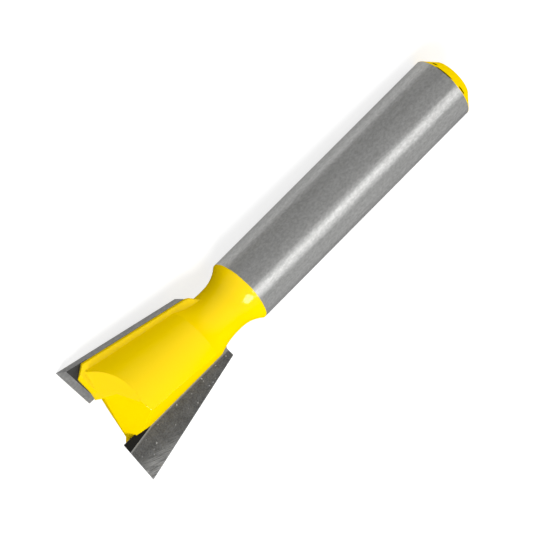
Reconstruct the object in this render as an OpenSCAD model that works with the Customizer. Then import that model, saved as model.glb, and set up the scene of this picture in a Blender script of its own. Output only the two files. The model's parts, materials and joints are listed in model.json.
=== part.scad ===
// Dovetail cutter: a router bit with two brazed carbide tips, lying at rest on a surface.
// The bit is modelled along its own axis, with the cutting corners at height 0 and the shank above,
// and is then laid down on a tip corner, a heel corner and the rim of the shank's free end.

/* [Shank] */
// Diameter of the ground shank
shank_d = 6.35; // [5.8:0.05:8]
// Length of the ground cylinder
shank_l = 26.9; // [15:0.05:40]
// Depth of the chamfer round the free end, across the axis
shank_chamfer_w = 1.1; // [0.2:0.1:2]
// Length of that chamfer along the axis
shank_chamfer_l = 1.15; // [0.2:0.05:3]

/* [Neck] */
// Diameter of the waist between head and shank
neck_d = 4.75; // [4.2:0.05:5]
// Length of the straight part of the waist
neck_l = 0.52; // [0.4:0.02:6]
// Radius of the fillet that flares up to the shank
neck_upper_r = 3.6; // [1.6:0.1:5]
// Radius of the fillet that flares down to the head
neck_lower_r = 7; // [4:0.1:8]

/* [Cutting head] */
// Diameter swept by the cutting corners
cutting_d = 12.7; // [12:0.1:16]
// Length of the cutting edges along the axis
cutting_l = 12.7; // [9:0.1:13.5]
// Slope of the cutting edges to the axis
dovetail_deg = 12.4; // [8:0.2:13]
// Distance of the steel cone inside the swept cone
cone_inset = 0.66; // [0.4:0.02:0.8]
// Distance of the cone's shoulder below the tips' upper ends
shoulder_drop = 1.55; // [0.6:0.05:2]

/* [Carbide tips] */
// Thickness of a tip
tip_t = 1.4; // [1:0.05:1.8]
// Distance of the rake face behind the axis, at the cutting corner
rake_offset = 0.9; // [0.6:0.02:1.2]
// Lean of the tips, which lets their upper ends lead
shear_deg = 5.8; // [2:0.2:7]
// Rise of the end cutting edge toward the axis
dish_deg = 3.7; // [1:0.1:6]
// Clearance of a tip's end face behind its edge
end_clearance_deg = 10; // [6:0.5:14]
// Slope of a tip's flank behind its edge
flank_clearance_deg = 18.5; // [12:0.5:24]
// Distance of a tip's inner side from the axis
tip_x = 2.38; // [2.3:0.02:2.6]

/* [Seats and gullets] */
// Distance of the foot of a gullet's wall from the axis
gullet_x = 2.81; // [2.72:0.01:3.2]
// Angle by which a gullet opens away from its tip
gullet_open_deg = 11; // [6:0.5:13]
// Room for braze above a tip in its seat
seat_room = 0.15; // [0.05:0.05:0.3]
// Height to which the gullet's wall is cut back at its foot
toe_h = 3.2; // [2.4:0.1:4]
// Slope of that cut from the tip's length
toe_deg = 10.7; // [6:0.1:14]

/* [Wings] */
// Thickness of the steel wing that backs a tip
wing_t = 0.5; // [0.3:0.05:1]
// Distance of a wing's edge inside the tip's flank
wing_inset = 0.05; // [0.02:0.01:0.2]
// Height of a wing's lower edge
wing_z = 0.5; // [0.4:0.02:0.8]
// Slope of a wing's lower end behind its tip
wing_relief_deg = 30; // [10:1:45]
// Width of the cut across a wing's lower outer corner
wing_cut_w = 1.25; // [0.3:0.05:1.6]
// Height of that cut
wing_cut_h = 1.95; // [0.5:0.05:2.5]
// Slope at which a wing's upper end rises to the waist
wing_top_deg = 40; // [10:1:50]

/* [End relief] */
// Distance from the axis at which the heel relief would start at height 0
heel_reach = 2.31; // [2:0.05:2.8]
// Slope of the heel relief
heel_deg = 46.5; // [40:0.5:52]
// Turn of the heel relief from square to the tips
heel_turn_deg = 14.3; // [8:0.5:20]
// Height of the chisel line across the axis
gash_z = 1.25; // [1.1:0.05:1.6]
// Slope of the gash on each side of the chisel line
gash_deg = 18; // [15:0.5:24]
// Direction of the chisel line, from the tips' own direction
chisel_deg = 44.5; // [38:0.5:52]
// Distance from the axis at which the gash ends beside the first tip, at the wing's lower edge
gash_reach_1 = 2.75; // [2.05:0.05:2.9]
// The same beside the second tip, as the two ends are ground by hand
gash_reach_2 = 2.25; // [2.05:0.05:2.9]
// Slope of the gash's end wall from the axis
gash_end_deg = 33; // [20:1:45]

/* [Hidden] */
$fn = 96;
paint = "gold";
carbide = "dimgray";
// Larger than the whole bit, for cutting tools that pass right through it
reach = 4 * cutting_d;

// Places across the axis
shank_r = shank_d / 2;
neck_r = neck_d / 2;
cutting_r = cutting_d / 2;
corner_x = sqrt(pow(cutting_r, 2) - pow(rake_offset, 2));
top_r = cutting_r - cutting_l * tan(dovetail_deg);
top_x = sqrt(pow(top_r, 2) - pow(rake_offset - cutting_l * tan(shear_deg), 2));
// Distance of a wing's outer edge inside the cutting edge
set_back = tip_t * tan(flank_clearance_deg);
// Length of a tip along its own lean
tip_l = cutting_l / cos(shear_deg);

// Places along the axis
shoulder_z = cutting_l - shoulder_drop;
shoulder_r = cone_r(shoulder_z);
waist_z = shoulder_z + fillet_rise(neck_lower_r, shoulder_r);
flare_z = waist_z + neck_l;
shank_z = flare_z + fillet_rise(neck_upper_r, shank_r);
shank_rim_z = shank_z + shank_l;
end_z = shank_rim_z + shank_chamfer_l;

// Radius of the steel cone at a height
function cone_r(z) = cutting_r - cone_inset - z * tan(dovetail_deg);
// Length along the axis over which a fillet leaves the waist and reaches a radius
function fillet_rise(fillet_r, to_r) =
    sqrt(pow(fillet_r, 2) - pow(max(neck_r + fillet_r - to_r, 0), 2));

// Distance of the first gullet's wall from the axis, at a place in the bit's frame
function wall_x(y, z) =
    gullet_x + ((y - rake_offset) * cos(shear_deg) + z * sin(shear_deg)) * tan(gullet_open_deg);
// Height of the end relief beside the first gullet
function gash_at(x, y) = gash_z + (x * sin(chisel_deg) - y * cos(chisel_deg)) * tan(gash_deg);
function heel_at(x, y) = (-x * sin(heel_turn_deg) - y * cos(heel_turn_deg) - heel_reach) * tan(heel_deg);
function relief_z(x, y) = max(gash_at(x, y), heel_at(x, y));
// The heel corner, where the first gullet's wall, the cone and the end relief meet
function heel_corner(at, steps) = steps == 0 ? at
    : heel_corner(next_corner(wall_x(at.y, at.z), relief_z(at.x, at.y)), steps - 1);
function next_corner(x, z) = [x, -sqrt(pow(cone_r(z), 2) - pow(x, 2)), z];
heel = heel_corner([0, -cutting_r, 0], 40);

// The rest: a gullet faces down, and its two corners and the shank's rim touch the surface together
span = norm([heel.x - corner_x, heel.y - rake_offset]);
span_deg = atan2(heel.y - rake_offset, heel.x - corner_x);
function roll_at(tilt) = span_deg + acos(-heel.z * tan(tilt) / span);
function corner_drop(roll) = corner_x * cos(roll) + rake_offset * sin(roll);
function tilt_at(roll) = atan((corner_drop(roll) - shank_r) / shank_rim_z);
function settle(tilt, steps) = steps == 0 ? tilt : settle(tilt_at(roll_at(tilt)), steps - 1);
rest_tilt = settle(0, 8);
rest_roll = roll_at(rest_tilt);
rest_lift = corner_drop(rest_roll) * cos(rest_tilt);
// Middle of the laid bit's length, from the lower cutting corner to the upper edge of the end face
low_x = -corner_drop(rest_roll) * sin(rest_tilt);
high_x = end_z * cos(rest_tilt) + (shank_r - shank_chamfer_w) * sin(rest_tilt);
middle_x = (low_x + high_x) / 2;

// Lays the bit down with its second gullet facing the surface
module at_rest() {
    translate([-middle_x, 0, rest_lift])
        rotate([0, 90 + rest_tilt, 0])
            rotate([0, 0, 180 - rest_roll])
                children();
}

// Frame of the first tip: its rake face is the plane y = 0 and its lower edge starts at height 0
module tip_frame() {
    translate([0, rake_offset, 0])
        rotate([shear_deg, 0, 0])
            children();
}

// Everything on one side of a plane through a point
module half_space(at, toward) {
    translate(at)
        rotate([0, acos(toward.z / norm(toward)), atan2(toward.y, toward.x)])
            translate([-reach, -reach, 0])
                cube(2 * reach);
}

// Half section of the turned bar
module turned_section() {
    difference() {
        polygon([
            [0, 0],
            [cone_r(0), 0],
            [shoulder_r, shoulder_z],
            [shoulder_r, waist_z],
            [neck_r, waist_z],
            [neck_r, flare_z],
            [shank_r, flare_z],
            [shank_r, shank_rim_z],
            [shank_r - shank_chamfer_w, end_z],
            [0, end_z],
        ]);
        translate([neck_r + neck_lower_r, waist_z])
            intersection() {
                circle(neck_lower_r);
                translate([-neck_lower_r, -2 * neck_lower_r])
                    square(2 * neck_lower_r);
            }
        translate([neck_r + neck_upper_r, flare_z])
            circle(neck_upper_r);
    }
}

// Relief of the cone behind a wing's heel
module heel_relief() {
    half_space([-heel_reach * sin(heel_turn_deg), -heel_reach * cos(heel_turn_deg), 0],
               [-sin(heel_deg) * sin(heel_turn_deg), -sin(heel_deg) * cos(heel_turn_deg), -cos(heel_deg)]);
}

// Everything outside a tip's flank, set in by a distance, in the tip's frame
module beyond_flank(inset) {
    half_space([corner_x - inset, 0, 0],
               [tip_l, tip_l * tan(flank_clearance_deg), corner_x - top_x]);
}

// Steel wing behind a tip, in the tip's frame
module wing() {
    difference() {
        translate([0, tip_t, wing_z])
            cube([corner_x, wing_t, tip_l + top_x * tan(wing_top_deg) - wing_z]);
        beyond_flank(wing_inset);
        half_space([top_x - set_back, 0, tip_l], [sin(wing_top_deg), 0, cos(wing_top_deg)]);
        half_space([0, tip_t, wing_z], [0, sin(wing_relief_deg), -cos(wing_relief_deg)]);
    }
}

// Cut across the lower outer corner of a wing, in the tip's frame
module corner_cut() {
    half_space([corner_x - set_back - wing_cut_w, 0, wing_z], [wing_cut_h, 0, -wing_cut_w]);
}

// Gullet in front of a tip, in the tip's frame
module gullet() {
    translate([0, 0, -cutting_l])
        linear_extrude(cutting_l + flare_z)
            polygon([
                [gullet_x, 0],
                [gullet_x - reach * tan(gullet_open_deg), -reach],
                [reach, -reach],
                [reach, 0],
            ]);
}

// Seat of a tip, in the tip's frame
module seat() {
    translate([tip_x, 0, -cutting_l])
        cube([reach, tip_t, cutting_l + tip_l + seat_room]);
}

// Cut at the foot of the gullet's wall, which bares the tip's inner corner, in the tip's frame
module toe_relief() {
    intersection() {
        half_space([gullet_x, 0, toe_h], [cos(toe_deg), 0, -sin(toe_deg)]);
        half_space([0, tip_t, 0], [0, -1, 0]);
    }
}

// Gash across the end on one side of the chisel line, up to a distance from the axis
module end_gash(gash_reach) {
    intersection() {
        half_space([0, 0, gash_z],
                   [sin(gash_deg) * sin(chisel_deg), -sin(gash_deg) * cos(chisel_deg), -cos(gash_deg)]);
        half_space([-gash_reach, 0, wing_z], [cos(gash_end_deg), 0, -sin(gash_end_deg)]);
        tip_frame()
            half_space([0, tip_t, 0], [0, -1, 0]);
    }
}

module cutter_body() {
    color(paint)
        difference() {
            union() {
                difference() {
                    rotate_extrude()
                        turned_section();
                    for (turn = [0, 180])
                        rotate([0, 0, turn])
                            heel_relief();
                }
                for (turn = [0, 180])
                    rotate([0, 0, turn])
                        tip_frame()
                            wing();
            }
            end_gash(gash_reach_2);
            rotate([0, 0, 180])
                end_gash(gash_reach_1);
            for (turn = [0, 180])
                rotate([0, 0, turn])
                    tip_frame() {
                        gullet();
                        seat();
                        toe_relief();
                        corner_cut();
                    }
        }
}

// One tip, with its ground flank and end faces
module carbide_tip() {
    color(carbide)
        tip_frame()
            difference() {
                translate([tip_x, 0, 0])
                    cube([corner_x - tip_x, tip_t, tip_l]);
                beyond_flank(0);
                half_space([corner_x, 0, 0], [-tan(dish_deg), tan(end_clearance_deg), -1]);
            }
}

at_rest() cutter_body();
at_rest() carbide_tip();  // carbide_tip_1
at_rest() rotate([0, 0, 180]) carbide_tip();  // carbide_tip_2
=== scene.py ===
"""Looks of the dovetail router bit: yellow paint, ground steel and ground carbide, on a white floor.

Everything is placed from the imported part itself: the bit's own frame is found from its shank mount and
from the cutting corner of its first tip. In that frame, in millimetres, Z runs along the axis toward the
shank, the cutting corners lie at height 0 and the tips point along X.
"""
import json
import math

import bpy
from mathutils import Matrix, Vector

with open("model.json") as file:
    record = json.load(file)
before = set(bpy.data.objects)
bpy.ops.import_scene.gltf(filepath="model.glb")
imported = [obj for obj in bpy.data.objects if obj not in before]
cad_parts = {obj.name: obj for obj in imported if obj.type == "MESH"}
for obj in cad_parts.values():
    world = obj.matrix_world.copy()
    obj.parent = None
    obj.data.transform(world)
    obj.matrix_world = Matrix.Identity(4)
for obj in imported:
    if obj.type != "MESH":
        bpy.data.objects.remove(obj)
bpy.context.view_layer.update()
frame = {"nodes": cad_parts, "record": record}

# The part's own sizes that the looks depend on, in millimetres and degrees
RAKE_OFFSET = 0.9
SHEAR_DEG = 5.8
TIP_T = 1.4
TIP_X = 2.38
# Foot of the gullet's wall on the rake face, and the line under which the rake face was never ground
RAKE_FOOT_X = 2.81
FOOT_LINE_X = 3.25
FOOT_LINE_SLOPE = 0.138
# Cutting corner, and how far the cutting edge leans in for each millimetre of the tip's length
CORNER_X = 6.286
EDGE_SLOPE = 0.2155
# Width of the worn band beside the cutting edge at its corner, and how fast it narrows along the tip
WEAR_W = 2.5
WEAR_SLOPE = 0.36
# Height up to which a tip's back shows past its wing
BACK_SHOWN_H = 2.4
# How near to a face a point counts as on it
SKIN = 0.02
# How far the paint reaches over the ends of the bare cylinder, and how ragged its edge is
PAINT_LAP = 0.03
PAINT_RAGGED = 0.1
# Marks at the rim of the shank's free end: distance past the rim, half width, turn in radians, half length
RIM_MARKS = ((0.03, 0.10, -0.31, 0.36), (0.14, 0.12, 0.44, 0.17), (0.36, 0.12, -0.81, 0.14))

# Radius to which the paint softens an edge, and depth of the grinding streaks, in metres
PAINT_EDGE_R = 0.0002
STREAK_DEPTH = 0.00003
# The paint's specular level where it faces the eye, and how far it turns away while that fades to none
PAINT_GLOSS = 0.3
GLOSS_FADE = (0.1, 0.3)

# Colours; a ground surface varies between two tones
PAINT = (0.95, 0.665, 0.0, 1)
CHIP = (0.06, 0.04, 0.0, 1)
STEEL_TONES = ((0.45, 0.45, 0.441, 1), (0.63, 0.63, 0.619, 1))
FLANK_TONES = ((0.26, 0.26, 0.257, 1), (0.44, 0.44, 0.434, 1))
RAKE_TONES = ((0.12, 0.12, 0.118, 1), (0.25, 0.25, 0.246, 1))
# Light tone of the rake face worn beside the cutting edge, also used for the painted highlight along its foot
# line
WEAR_AND_EDGE_HIGHLIGHT = (0.60, 0.60, 0.59, 1)
UNGROUND_BACK = (0.05, 0.05, 0.049, 1)
UNGROUND_STRIP = (0.008, 0.008, 0.008, 1)
FLOOR = (0.34, 0.34, 0.34, 1)

# The floor's own glow for the camera and, under the bit, for reflections
GLOW_SEEN = 0.74
GLOW_MIRRORED = 0.38
# Where that second glow fades, to the sides of the bit and past its shank, in metres
GLOW_FADE_Y = (0.0042, 0.0060)
GLOW_FADE_X = (0.024, 0.027)
ROOM_LIGHT = 0.5
# Point that the lamps are aimed at
LAMP_AIM = Vector((0, 0, 0.004))

# The photograph's camera in the bit's own frame: its place, the picture's directions and the focal length
EYE = Vector((-11.69974, -362.37853, -91.55125))
PICTURE_RIGHT = Vector((0.70140835, -0.2316541, 0.67406432))
PICTURE_DOWN = Vector((0.71207657, 0.18635262, -0.67691924))
FOCAL_PX = 4306.484
PICTURE_PX = 533
SENSOR_MM = 36

mount = frame["record"]["mounts"][0]
shank_axis = Vector(mount["axis"]).normalized()
shank_mid = Vector(mount["pos_m"])
shank_half = mount["dims"]["length_mm"] / 2


def bit_frame():
    """Matrix from the bit's own frame in millimetres to the row frame in metres."""
    def from_axis(point):
        away = point - shank_mid
        return away - shank_axis * away.dot(shank_axis)

    points = [v.co.copy() for v in frame["nodes"]["carbide_tip_1"].data.vertices]
    corner = max(points, key=lambda p: from_axis(p).length)
    origin = corner - from_axis(corner)
    radial = from_axis(corner).normalized()
    across = shank_axis.cross(radial)
    lag = math.asin(RAKE_OFFSET / 1000 / from_axis(corner).length)
    x = radial * math.cos(lag) - across * math.sin(lag)
    y = shank_axis.cross(x)
    turn = Matrix((x, y, shank_axis)).transposed().to_4x4()
    return Matrix.Translation(origin) @ turn @ Matrix.Scale(0.001, 4)


bit = bit_frame()
shank_centre_z = (bit.inverted() @ shank_mid).z


def tip_frame(turn_deg):
    """Frame of a tip: its rake face is the plane y = 0."""
    return (bit @ Matrix.Rotation(math.radians(turn_deg), 4, "Z") @ Matrix.Translation((0, RAKE_OFFSET, 0))
            @ Matrix.Rotation(math.radians(SHEAR_DEG), 4, "X"))


class Tree:
    """Short forms for the nodes of one material, whose x, y and z are those of a given frame."""

    def __init__(self, name, place):
        self.material = bpy.data.materials.new(name)
        self.material.use_nodes = True
        self.nodes = self.material.node_tree.nodes
        self.links = self.material.node_tree.links
        self.nodes.clear()
        self.output = self.nodes.new("ShaderNodeOutputMaterial")
        coords = self.nodes.new("ShaderNodeTexCoord")
        self.place = self.nodes.new("ShaderNodeMapping")
        self.place.vector_type = "TEXTURE"
        location, rotation, scale = place.decompose()
        self.place.inputs["Location"].default_value = location
        self.place.inputs["Rotation"].default_value = rotation.to_euler()
        self.place.inputs["Scale"].default_value = scale
        self.links.new(coords.outputs["Object"], self.place.inputs["Vector"])
        split = self.nodes.new("ShaderNodeSeparateXYZ")
        self.links.new(self.place.outputs["Vector"], split.inputs[0])
        self.x, self.y, self.z = split.outputs

    def put(self, socket, value):
        if isinstance(value, bpy.types.NodeSocket):
            self.links.new(value, socket)
        else:
            socket.default_value = value

    def math(self, operation, a, b=0.0):
        node = self.nodes.new("ShaderNodeMath")
        node.operation = operation
        self.put(node.inputs[0], a)
        self.put(node.inputs[1], b)
        return node.outputs[0]

    def ramp(self, value, low, high, to_low=0.0, to_high=1.0):
        node = self.nodes.new("ShaderNodeMapRange")
        node.interpolation_type = "SMOOTHSTEP"
        self.put(node.inputs["Value"], value)
        node.inputs["From Min"].default_value = low
        node.inputs["From Max"].default_value = high
        node.inputs["To Min"].default_value = to_low
        node.inputs["To Max"].default_value = to_high
        return node.outputs[0]

    def within(self, value, middle, half):
        """1 where a value lies around a middle, fading to 0 at its ends."""
        return self.ramp(self.math("ABSOLUTE", self.math("SUBTRACT", value, middle)), half, half * 0.6)

    def slanting(self, start, slope):
        """A line that starts at height 0 and comes in along Z."""
        return self.math("SUBTRACT", start, self.math("MULTIPLY", self.z, slope))

    def stretch(self, scale):
        node = self.nodes.new("ShaderNodeMapping")
        node.inputs["Scale"].default_value = scale
        self.links.new(self.place.outputs["Vector"], node.inputs["Vector"])
        return node.outputs["Vector"]

    def leaning(self, lean_deg, scale):
        """The place turned about Y and then stretched."""
        node = self.nodes.new("ShaderNodeMapping")
        node.vector_type = "TEXTURE"
        node.inputs["Rotation"].default_value = (0, math.radians(lean_deg), 0)
        node.inputs["Scale"].default_value = [1 / share for share in scale]
        self.links.new(self.place.outputs["Vector"], node.inputs["Vector"])
        return node.outputs["Vector"]

    def noise(self, vector, detail=3.0, rough=0.6):
        node = self.nodes.new("ShaderNodeTexNoise")
        self.put(node.inputs["Vector"], vector)
        node.inputs["Scale"].default_value = 1.0
        node.inputs["Detail"].default_value = detail
        node.inputs["Roughness"].default_value = rough
        return node.outputs[0]

    def mix(self, share, a, b):
        node = self.nodes.new("ShaderNodeMix")
        node.data_type = "RGBA"
        self.put(node.inputs[0], share)
        self.put(node.inputs[6], a)
        self.put(node.inputs[7], b)
        return node.outputs[2]

    def ground(self, tones, fine, coarse, coarse_share):
        """A colour between two tones, by a fine and a coarse noise."""
        both = self.math("ADD", self.math("MULTIPLY", fine, 1 - coarse_share),
                         self.math("MULTIPLY", coarse, coarse_share))
        return self.mix(self.ramp(both, 0.3, 0.7), *tones)

    def bump(self, height, distance):
        node = self.nodes.new("ShaderNodeBump")
        node.inputs["Strength"].default_value = 1.0
        node.inputs["Distance"].default_value = distance
        self.put(node.inputs["Height"], height)
        return node.outputs[0]

    def shader(self, **sockets):
        node = self.nodes.new("ShaderNodeBsdfPrincipled")
        for name, value in sockets.items():
            self.put(node.inputs[name.replace("_", " ")], value)
        return node.outputs[0]

    def blend(self, share, a, b):
        node = self.nodes.new("ShaderNodeMixShader")
        self.put(node.inputs[0], share)
        self.links.new(a, node.inputs[1])
        self.links.new(b, node.inputs[2])
        return node.outputs[0]

    def finish(self, shader):
        self.links.new(shader, self.output.inputs["Surface"])
        return self.material


def body_material():
    """Yellow paint on the head, the waist and the shank's end, bare ground steel on the shank."""
    t = Tree("body_paint", bit)
    from_middle = t.math("SUBTRACT", t.z, shank_centre_z)
    uneven = t.math("SUBTRACT", t.noise(t.stretch((1.2, 1.2, 0.6))), 0.5)
    along = t.math("ADD", t.math("ABSOLUTE", from_middle), t.math("MULTIPLY", uneven, PAINT_RAGGED))
    bare = t.math("LESS_THAN", along, shank_half - PAINT_LAP)

    # A dark line along part of the rim at the shank's free end, and two slits in the paint beside it
    past_rim = t.math("SUBTRACT", from_middle, shank_half)
    round_rim = t.math("ARCTAN2", t.x, t.math("MULTIPLY", t.y, -1.0))
    chip = 0.0
    for above, width, middle, spread in RIM_MARKS:
        mark = t.math("MULTIPLY", t.within(past_rim, above, width), t.within(round_rim, middle, spread))
        chip = t.math("MAXIMUM", mark, chip)
    rounded = t.nodes.new("ShaderNodeBevel")
    rounded.samples = 8
    rounded.inputs["Radius"].default_value = PAINT_EDGE_R
    # The gloss fades where the paint is seen at a low angle
    turned_away = t.nodes.new("ShaderNodeLayerWeight")
    gloss = t.ramp(turned_away.outputs["Facing"], *GLOSS_FADE, PAINT_GLOSS, 0.0)
    paint = t.shader(Base_Color=t.mix(chip, PAINT, CHIP), Roughness=0.1, Specular_IOR_Level=gloss,
                     Normal=rounded.outputs[0])

    # The grinding runs round the shank, so it spreads a reflection along the axis
    grain = t.noise(t.stretch((4.5, 4.5, 3.0)), rough=0.7)
    streaks = t.noise(t.stretch((1.1, 1.1, 0.10)))
    round_axis = t.nodes.new("ShaderNodeTangent")
    round_axis.direction_type = "RADIAL"
    round_axis.axis = "X"
    steel = t.shader(Base_Color=t.ground(STEEL_TONES, grain, streaks, 0.25), Metallic=1.0, Roughness=0.45,
                     Anisotropic=0.88, Anisotropic_Rotation=0.25, Tangent=round_axis.outputs[0],
                     Normal=t.bump(streaks, STREAK_DEPTH))
    return t.finish(t.blend(bare, paint, steel))


def carbide_material(name, turn_deg):
    """Ground carbide, dark where it was never ground: inside, at the back and at the rake face's foot."""
    t = Tree(name, tip_frame(turn_deg))
    on_rake = t.math("LESS_THAN", t.y, SKIN)
    lines = t.noise(t.stretch((9.0, 0.5, 9.0)), rough=0.7)
    blotch = t.noise(t.stretch((1.3, 1.3, 1.3)))
    flank = t.shader(Base_Color=t.ground(FLANK_TONES, lines, blotch, 0.4), Metallic=1.0, Roughness=0.45)

    # The rake face is brighter and streaked by use beside the cutting edge, most of all at its corner; along
    # its foot line it carries a thin painted highlight
    from_edge = t.math("SUBTRACT", t.slanting(CORNER_X, EDGE_SLOPE), t.x)
    worn = t.ramp(t.math("SUBTRACT", t.slanting(WEAR_W, WEAR_SLOPE), from_edge), 0.0, 1.9)
    streak = t.noise(t.leaning(21, (12.0, 1.0, 0.9)), detail=4.0, rough=0.7)
    wear = t.math("MULTIPLY", worn, t.ramp(streak, 0.33, 0.66))
    specks = t.ramp(t.noise(t.stretch((3.4, 3.4, 3.4)), detail=0.0), 0.74, 0.78)
    # A thin painted highlight just past the foot line, on the edge where the ground rake face begins
    foot_line = t.slanting(FOOT_LINE_X, FOOT_LINE_SLOPE)
    from_foot = t.math("SUBTRACT", t.x, t.math("MAXIMUM", RAKE_FOOT_X, foot_line))
    bright = t.math("MAXIMUM", t.math("MAXIMUM", wear, specks), t.ramp(from_foot, 0.05, 0.2, 0.6, 0.0))
    fine = t.noise(t.stretch((7.0, 7.0, 7.0)), detail=2.0)
    rake = t.shader(Base_Color=t.mix(bright, t.ground(RAKE_TONES, fine, blotch, 0.4), WEAR_AND_EDGE_HIGHLIGHT), Metallic=1.0,
                    Roughness=0.38)

    strip = t.math("MULTIPLY", on_rake, t.math("LESS_THAN", t.x, foot_line))
    on_back = t.math("GREATER_THAN", t.y, TIP_T - SKIN)
    back = t.math("MULTIPLY", on_back, t.math("LESS_THAN", t.z, BACK_SHOWN_H))
    inside = t.math("LESS_THAN", t.x, TIP_X + SKIN)
    unground = t.math("MAXIMUM", strip, t.math("MAXIMUM", back, inside))
    raw = t.shader(Base_Color=t.mix(on_rake, UNGROUND_BACK, UNGROUND_STRIP), Roughness=0.6,
                   Specular_IOR_Level=0.12)
    return t.finish(t.blend(unground, t.blend(on_rake, flank, rake), raw))


body = frame["nodes"]["cutter_body"]
body.data.materials.clear()
body.data.materials.append(body_material())
for node_name, turn_deg in (("carbide_tip_1", 0), ("carbide_tip_2", 180)):
    tip = frame["nodes"][node_name]
    tip.data.materials.clear()
    tip.data.materials.append(carbide_material(node_name, turn_deg))


scene = bpy.context.scene
scene.view_settings.view_transform = "Standard"
scene.world = bpy.data.worlds.new("room")
scene.world.use_nodes = True
light_all_round = scene.world.node_tree.nodes["Background"]
light_all_round.inputs["Color"].default_value = (1, 1, 1, 1)
light_all_round.inputs["Strength"].default_value = ROOM_LIGHT


def floor_material():
    """White floor that keeps the shadow; reflections see it white under the bit and dim farther off."""
    t = Tree("floor_white", Matrix())
    rays = t.nodes.new("ShaderNodeLightPath")
    mirrored = t.math("MAXIMUM", rays.outputs["Is Glossy Ray"], rays.outputs["Is Transmission Ray"])
    beside = t.ramp(t.math("ABSOLUTE", t.y), *GLOW_FADE_Y, GLOW_MIRRORED, 0.0)
    under = t.math("MULTIPLY", beside, t.ramp(t.x, *GLOW_FADE_X, 1.0, 0.0))
    seen = t.math("MULTIPLY", rays.outputs["Is Camera Ray"], GLOW_SEEN)
    white = t.nodes.new("ShaderNodeBsdfDiffuse")
    white.inputs["Color"].default_value = FLOOR
    glow = t.nodes.new("ShaderNodeEmission")
    t.put(glow.inputs["Strength"], t.math("ADD", seen, t.math("MULTIPLY", mirrored, under)))
    both = t.nodes.new("ShaderNodeAddShader")
    t.links.new(white.outputs[0], both.inputs[0])
    t.links.new(glow.outputs[0], both.inputs[1])
    return t.finish(both.outputs[0])


bpy.ops.mesh.primitive_plane_add(size=6, location=(0, 0, 0))
floor = bpy.context.object
floor.name = "floor"
floor.data.materials.append(floor_material())


def softbox(name, place, size, power):
    """A soft lamp aimed at the bit: its place and size in metres, its power in watts."""
    lamp = bpy.data.lights.new(name, "AREA")
    lamp.shape = "RECTANGLE"
    lamp.size, lamp.size_y = size
    lamp.energy = power
    holder = bpy.data.objects.new(name, lamp)
    scene.collection.objects.link(holder)
    holder.location = place
    holder.rotation_euler = (LAMP_AIM - Vector(place)).to_track_quat("-Z", "Y").to_euler()
    return holder


# The main softbox, where the highlight on the waist puts it
softbox("key", (-0.25, 0.055, 0.433), (0.21, 0.22), 1.75)
# A faint wide one behind, for the far side of the shank
softbox("behind", (0, -0.45, 0.40), (0.8, 0.6), 0.3)
# Soft fills that brighten the near side, the far side and the two ends, and that no reflection shows
for fill in (softbox("near_fill", (-0.25, 0.75, 0.06), (0.8, 0.5), 1.3),
             softbox("far_fill", (0, -0.70, 0.30), (0.6, 0.4), 0.8),
             softbox("end_fill", (0.55, 0.10, 0.12), (0.3, 0.3), 1.9),
             softbox("head_fill", (-0.55, 0.12, 0.12), (0.3, 0.3), 0.4)):
    fill.visible_glossy = False


def place_camera():
    """The photograph's camera, found by fitting the bit's edges."""
    turn = bit.to_3x3() * 1000
    right = (turn @ PICTURE_RIGHT).normalized()
    down = (turn @ PICTURE_DOWN).normalized()
    ahead = right.cross(down)
    camera = bpy.data.objects.new("camera", bpy.data.cameras.new("camera"))
    scene.collection.objects.link(camera)
    camera.matrix_world = Matrix.Translation(bit @ EYE) @ Matrix((right, -down, -ahead)).transposed().to_4x4()
    camera.data.sensor_width = SENSOR_MM
    camera.data.lens = FOCAL_PX / PICTURE_PX * SENSOR_MM
    camera.data.clip_start, camera.data.clip_end = 0.01, 20
    scene.camera = camera


place_camera()
